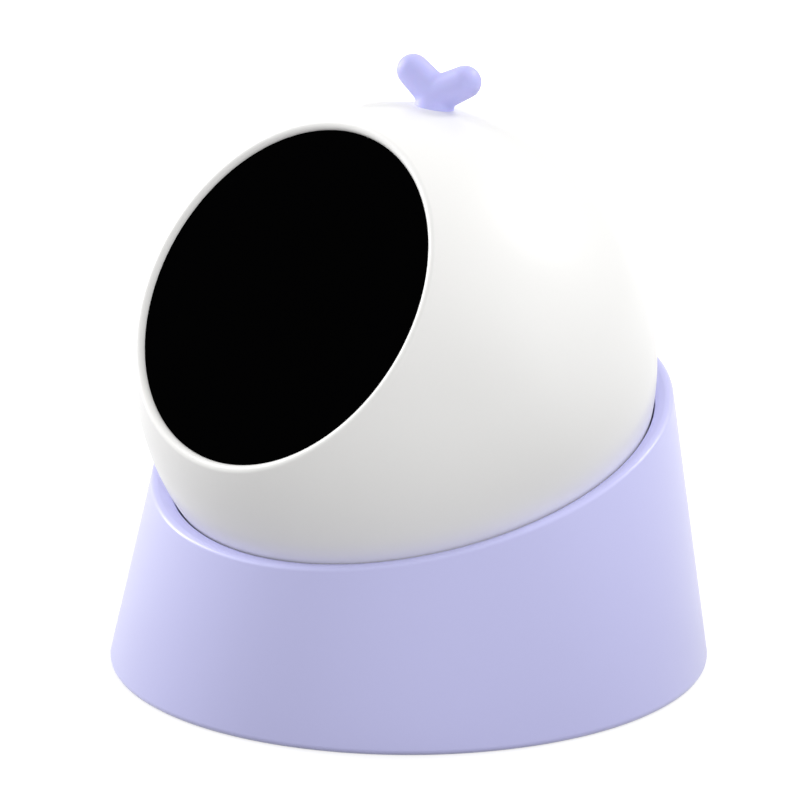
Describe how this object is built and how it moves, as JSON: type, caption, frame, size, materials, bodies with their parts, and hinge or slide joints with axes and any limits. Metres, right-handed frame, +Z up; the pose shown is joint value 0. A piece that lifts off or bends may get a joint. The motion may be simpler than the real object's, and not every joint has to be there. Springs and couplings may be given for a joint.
{
  "type": "automatic cat laser toy",
  "caption": "Round ball with a dark slanted window and a small two-leaf sprout, aimed by hand in a slanted round base, with a geared laser sweep inside.",
  "frame": {"origin": "middle of the base's underside, on the table", "axes": "+Z up, the window looks to -Y, +X to the object's left as seen from the front, so right in a view along +Y"},
  "size_m": [0.0802, 0.0802, 0.0833],
  "materials": {
    "ball_white": "satin",
    "window_black": "gloss",
    "base_lavender": "satin",
    "sprout_lavender": "satin",
    "seat_silicone": "matte",
    "rubber_grey": "matte",
    "frame_plastic": "matte",
    "gear_plastic": "satin",
    "screw_steel": "satin",
    "ballast_steel": "satin",
    "board_green": "satin",
    "battery_wrap": "satin",
    "brass": "satin",
    "lens_glass": "gloss",
    "lamp_clear": "gloss"
  },
  "bodies": {
    "base": {"base_shell": "base_lavender", "bottom_cover": "base_lavender", "cover_screws": "screw_steel", "ballast_ring": "ballast_steel", "rubber_feet": "rubber_grey"},
    "seat": {"seat_ring": "seat_silicone"},
    "ball": {"upper_shell": "ball_white", "lower_shell": "ball_white", "shell_screws": "screw_steel", "inner_frame": "frame_plastic", "frame_screws": "screw_steel", "window_panel": "window_black", "sprout": "sprout_lavender", "circuit_board": "board_green", "battery": "battery_wrap", "tact_switch": "frame_plastic", "charging_socket": "screw_steel", "status_lamp": "lamp_clear", "laser_bracket": "frame_plastic", "pan_motor": "screw_steel", "pivot_pin": "screw_steel"},
    "button": {"mode_button": "base_lavender", "switch_plunger": "frame_plastic"},
    "pan_drive": {"pan_shaft": "screw_steel", "pan_pinion": "brass"},
    "yoke": {"yoke": "frame_plastic", "pan_gear": "gear_plastic", "tilt_motor": "screw_steel"},
    "tilt_drive": {"tilt_shaft": "screw_steel", "tilt_pinion": "brass"},
    "laser": {"laser_cradle": "frame_plastic", "tilt_gear": "gear_plastic", "laser_barrel": "brass", "laser_lens": "lens_glass"}
  },
  "joints": [
    {"name": "ball_swivel", "type": "hinge", "parent": "base", "child": "seat", "pos_m": [0, -0.0024, 0.0425], "axis": [0, -0.2494, 0.9684], "continuous": true},
    {"name": "ball_tilt", "type": "hinge", "parent": "seat", "child": "ball", "pos_m": [0, -0.0024, 0.0425], "axis": [1, 0, 0], "range_deg": [-50, 20]},
    {"name": "button_press", "type": "slide", "parent": "ball", "child": "button", "axis": [0, -0.9684, -0.2494], "range_m": [0, 0.0008], "stiffness_N_per_m": 1500, "springref_m": -0.0004},
    {"name": "laser_pan", "type": "hinge", "parent": "ball", "child": "yoke", "pos_m": [0, -0.01464, 0.03873], "axis": [0, 0.5621, 0.8271], "range_deg": [-35, 35]},
    {"name": "pan_pinion_spin", "type": "hinge", "parent": "ball", "child": "pan_drive", "pos_m": [0.01, -0.01576, 0.03707], "axis": [0, 0.5621, 0.8271], "range_deg": [-106, 106]},
    {"name": "laser_tilt", "type": "hinge", "parent": "yoke", "child": "laser", "pos_m": [0, -0.00902, 0.047], "axis": [1, 0, 0], "range_deg": [-18, 18]},
    {"name": "tilt_pinion_spin", "type": "hinge", "parent": "yoke", "child": "tilt_drive", "pos_m": [0.011, -0.01306, 0.04104], "axis": [1, 0, 0], "range_deg": [-47, 47]}
  ],
  "couplings": [
    {"joint": "pan_pinion_spin", "follows": "laser_pan", "ratio": -3},
    {"joint": "tilt_pinion_spin", "follows": "laser_tilt", "ratio": -2.6}
  ]
}
